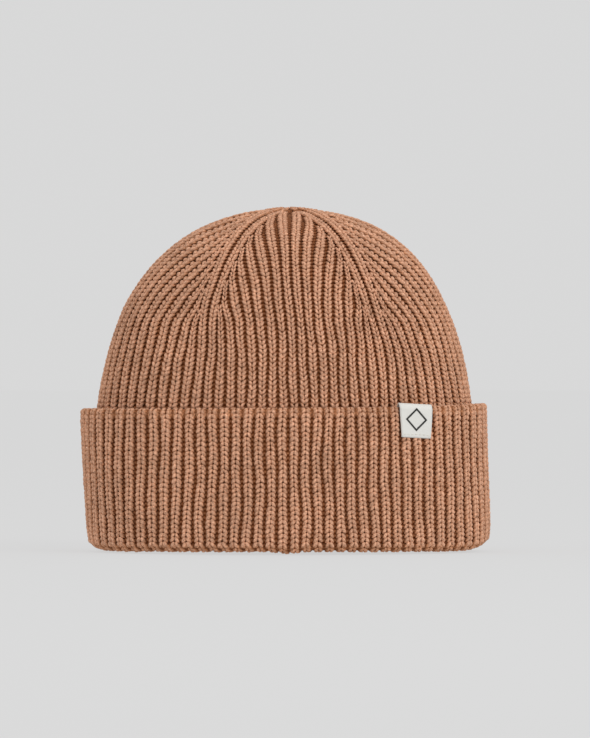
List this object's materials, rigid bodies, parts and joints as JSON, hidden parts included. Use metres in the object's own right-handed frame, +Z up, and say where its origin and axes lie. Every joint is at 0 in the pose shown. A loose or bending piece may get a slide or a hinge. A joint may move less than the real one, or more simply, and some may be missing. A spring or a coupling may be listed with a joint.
{
  "type": "beanie",
  "caption": "Rib-knit beanie with a shaped four-gore crown and a wide turned-up cuff that carries a small folded woven label.",
  "frame": {"origin": "middle of the oval on the surface that the folded lower edge stands on", "axes": "+Z up through the crown, +X along the hat's width to the right of the labelled front, -Y out of the labelled front"},
  "size_m": [0.2188, 0.1648, 0.186],
  "materials": {
    "knit": "chunky 1x1 rib knit in camel brown yarn, matt with a soft fuzz",
    "cuff_knit": "the same 1x1 rib knit turned wrong side out, matt with a soft fuzz",
    "seam_yarn": "linked seam in the knit's own yarn",
    "label_tape": "off-white woven satin tape",
    "label_mark": "black woven yarn",
    "label_thread": "fine off-white sewing thread",
    "care_tape": "blank white satin tape, folded double"
  },
  "bodies": {
    "hat": {"body_tube": "knit", "crown_front_gore": "knit", "crown_right_gore": "knit", "crown_back_gore": "knit", "crown_left_gore": "knit", "crown_gather": "knit", "gather_thread": "seam_yarn", "gather_knot": "seam_yarn", "cuff_fold": "cuff_knit", "turn_up_cuff": "cuff_knit", "cast_on_edge": "cuff_knit", "back_seam": "seam_yarn", "cuff_seam": "seam_yarn", "brand_label": "label_tape", "label_mark": "label_mark", "label_stitches": "label_thread"},
    "care_label": {"care_label": "care_tape"}
  },
  "joints": [
    {"name": "care_label_turn", "type": "hinge", "parent": "hat", "child": "care_label", "pos_m": [0, 0.0698, 0.036], "axis": [0, 0, -1], "range_deg": [0, 150]}
  ]
}
